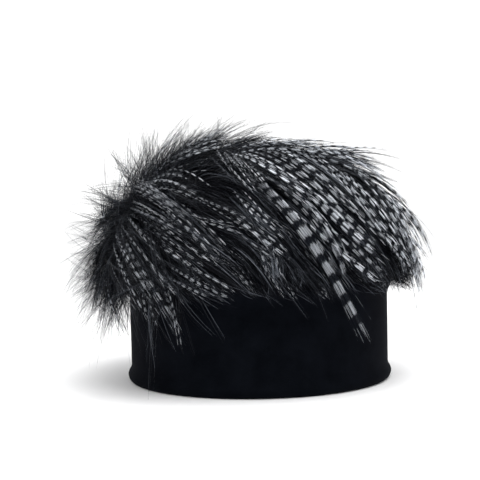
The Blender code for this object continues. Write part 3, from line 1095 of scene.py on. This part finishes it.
def pile_hair(name, clumps, hairs, steps, length, depth, width, silver, seed):
    """Clumps of hair all over the crown. length and depth are (least, most), and silver is the share
    of clumps with bars."""
    draw = np.random.default_rng(seed)
    clump = np.repeat(np.arange(clumps), hairs)
    count = len(clump)
    clump_length = draw.uniform(*length, clumps)
    lowest = draw.uniform(-4, 0, clumps)
    starts = scattered(draw, clumps)
    ways = comb(starts, clump_length, steps, lowest)[clump]
    step = np.linspace(0, 1, steps)[None, :]
    loose = draw.normal(0, CLUMP_SPREAD, (count, 1, 3))
    ways = unit(ways + loose * (1 - 0.72 * step[..., None]))
    ways[:, 0, 2] = np.maximum(ways[:, 0, 2], LOWEST_START)
    fuller = 1 + WHORL_FULLNESS * np.exp((starts @ WHORL - 1) / WHORL_WIDTH)
    tall = (draw.uniform(*depth, clumps) * fuller)[clump][:, None] * draw.uniform(0.7, 1.15, count)[:, None]
    out = FELT_PROUD + tall * (1 - (1 - step) ** 2.2)
    paths = over_crown(unit(ways), out)
    barred = draw.uniform(0, 1, clumps) < silver
    has_bars = barred[clump] & (draw.uniform(0, 1, count) < 0.8)
    kinds = dye(kinds_of(draw, has_bars, 0.8), step)
    shift = draw.uniform(0, 4 * MM, clumps)[clump] + draw.normal(0, 0.3 * MM, count)
    widths = taper(steps, width)[None, :] * draw.uniform(0.7, 1.25, (count, 1))
    return ribbons(name, paths, widths, kinds, shift, draw, fur)


fur_pieces += [
    pile_hair(
        "fur_cover", clumps=620, hairs=11, steps=9, length=(40 * MM, 78 * MM), depth=(8 * MM, 16 * MM),
        width=0.34 * MM, silver=0.09, seed=31,
    ),
    pile_hair(
        "fur_under", clumps=1300, hairs=7, steps=5, length=(18 * MM, 34 * MM), depth=(6 * MM, 11 * MM),
        width=0.42 * MM, silver=0.03, seed=32,
    ),
]

# %% [markdown]
# ## Loose hair
#
# Long fur never lies quite still. Round the whorl at the back the hair points straight out of the cloth,
# in spikes that draw together at their tips: fur_whorl is the wide, soft ring of it, and fur_burst the
# stiffer spikes in its middle. fur_flyaways are the few hairs that rise anywhere else. One could turn
# the locks up instead, but a lock has a clean edge, and the real outline has none.

# %% Loose hair
def loose_hair(name, roots, hairs, length, depth, power, steps, width, lowest, spread, seed, barred):
    """Spikes of a few hairs each. depth is how far the tips stand off (least, most), and a power under
    1 makes a hair rise first and then bend over. barred is the share of spikes with bars."""
    draw = np.random.default_rng(seed)
    spikes = len(roots)
    ways = comb(roots, draw.uniform(*length, spikes), steps, draw.uniform(*lowest, spikes))
    step = np.linspace(0, 1, steps)[None, :]
    ways = unit(ways + draw.normal(0, spread, (spikes, 1, 3)) * step[..., None] ** 1.3)
    spike = np.repeat(np.arange(spikes), hairs)
    count = len(spike)
    reach = 1 - 0.35 * draw.uniform(0, 1, (count, 1)) ** 2
    own = draw.normal(0, 0.03, (count, 1, 3)) * (1 - 0.8 * step[..., None] ** 0.7)
    low, high = depth
    tall = (low + (high - low) * draw.uniform(0, 1, spikes) ** 1.3)[spike][:, None] * reach
    paths = over_crown(unit(ways[spike] + own), FELT_PROUD + tall * step**power)
    dark = 0.25 * draw.uniform(0, 1, count) ** 4
    has_bars = (draw.uniform(0, 1, spikes) < barred)[spike]
    kinds = np.where(has_bars, draw.uniform(0.6, 0.9, count), dark)[:, None] + 0 * step
    widths = taper(steps, width, 0.9, 0.25)[None, :] * draw.uniform(0.7, 1.2, (count, 1))
    return ribbons(name, paths, widths, kinds, np.zeros(count), draw, fur)


def whorl_roots(count, seed, beside=30, widest=52, middle=21, scatter=21, highest=58):
    """Directions round the whorl, in degrees: beside and widest go round the hat, the others go up."""
    draw = np.random.default_rng(seed)
    around = WHORL_AROUND + np.clip(draw.normal(0, beside, count), -widest, widest)
    up = np.clip(draw.normal(middle, scatter, count), 2, highest)
    return directions(around, up)


fur_pieces += [
    loose_hair(
        "fur_whorl", whorl_roots(1000, 40), hairs=5, length=(22 * MM, 62 * MM), depth=(16 * MM, 60 * MM),
        power=0.9, steps=8, width=0.2 * MM, lowest=(-16, 0), spread=0.14, seed=41, barred=0.0,
    ),
    loose_hair(
        "fur_burst", whorl_roots(380, 44, 20, 34, 27, 9, 46), hairs=9, length=(6 * MM, 24 * MM),
        depth=(16 * MM, 54 * MM), power=1.0, steps=7, width=0.22 * MM, lowest=(-16, 0), spread=0.2,
        seed=45, barred=0.0,
    ),
    loose_hair(
        "fur_flyaways", scattered(np.random.default_rng(42), 420, 10, 90), hairs=4,
        length=(50 * MM, 90 * MM), depth=(10 * MM, 20 * MM), power=0.8, steps=10, width=0.18 * MM,
        lowest=(-3, 3), spread=0.08, seed=43, barred=0.06,
    ),
]

# %% [markdown]
# ## The root of the pile
#
# So many hairs grow from each square centimetre that no cloth shows between them. Modelling them all
# would take millions of triangles. A thin black felt layer stands for the densest part, just over the
# cloth, and closes every gap between the ribbons.

# %% Felt
FELT_GAP = 0.3 * MM
FELT_AT_SEAM = 1.5 * MM
FELT_MORE = 4 * MM
FELT_LUMPS = 0.5 * MM


def felt_outside(around, up):
    thick = FELT_AT_SEAM + FELT_MORE * smooth_step(up / EDGE_DEGREES)
    return thick + FELT_LUMPS * waves(np.radians(around), 0 * up, 12, 9, 30)


felt = dome_object(
    "fur_felt",
    felt_outside,
    lambda around, up: FELT_GAP + 0 * up,
    plain_material("black felt", (0.004, 0.0042, 0.0055), 0.95, 0.05),
)
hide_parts("fur_pile")
print("felt:", len(felt.data.polygons), "quads")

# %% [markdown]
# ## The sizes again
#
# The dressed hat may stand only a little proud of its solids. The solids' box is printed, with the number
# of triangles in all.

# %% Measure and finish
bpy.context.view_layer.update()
print("cad box, mm:", [round(x / MM, 1) for x in cad_low], [round(x / MM, 1) for x in cad_high])
made = [band, crown, felt] + fur_pieces
print("triangles in all:", sum(2 * len(piece.data.polygons) for piece in made))
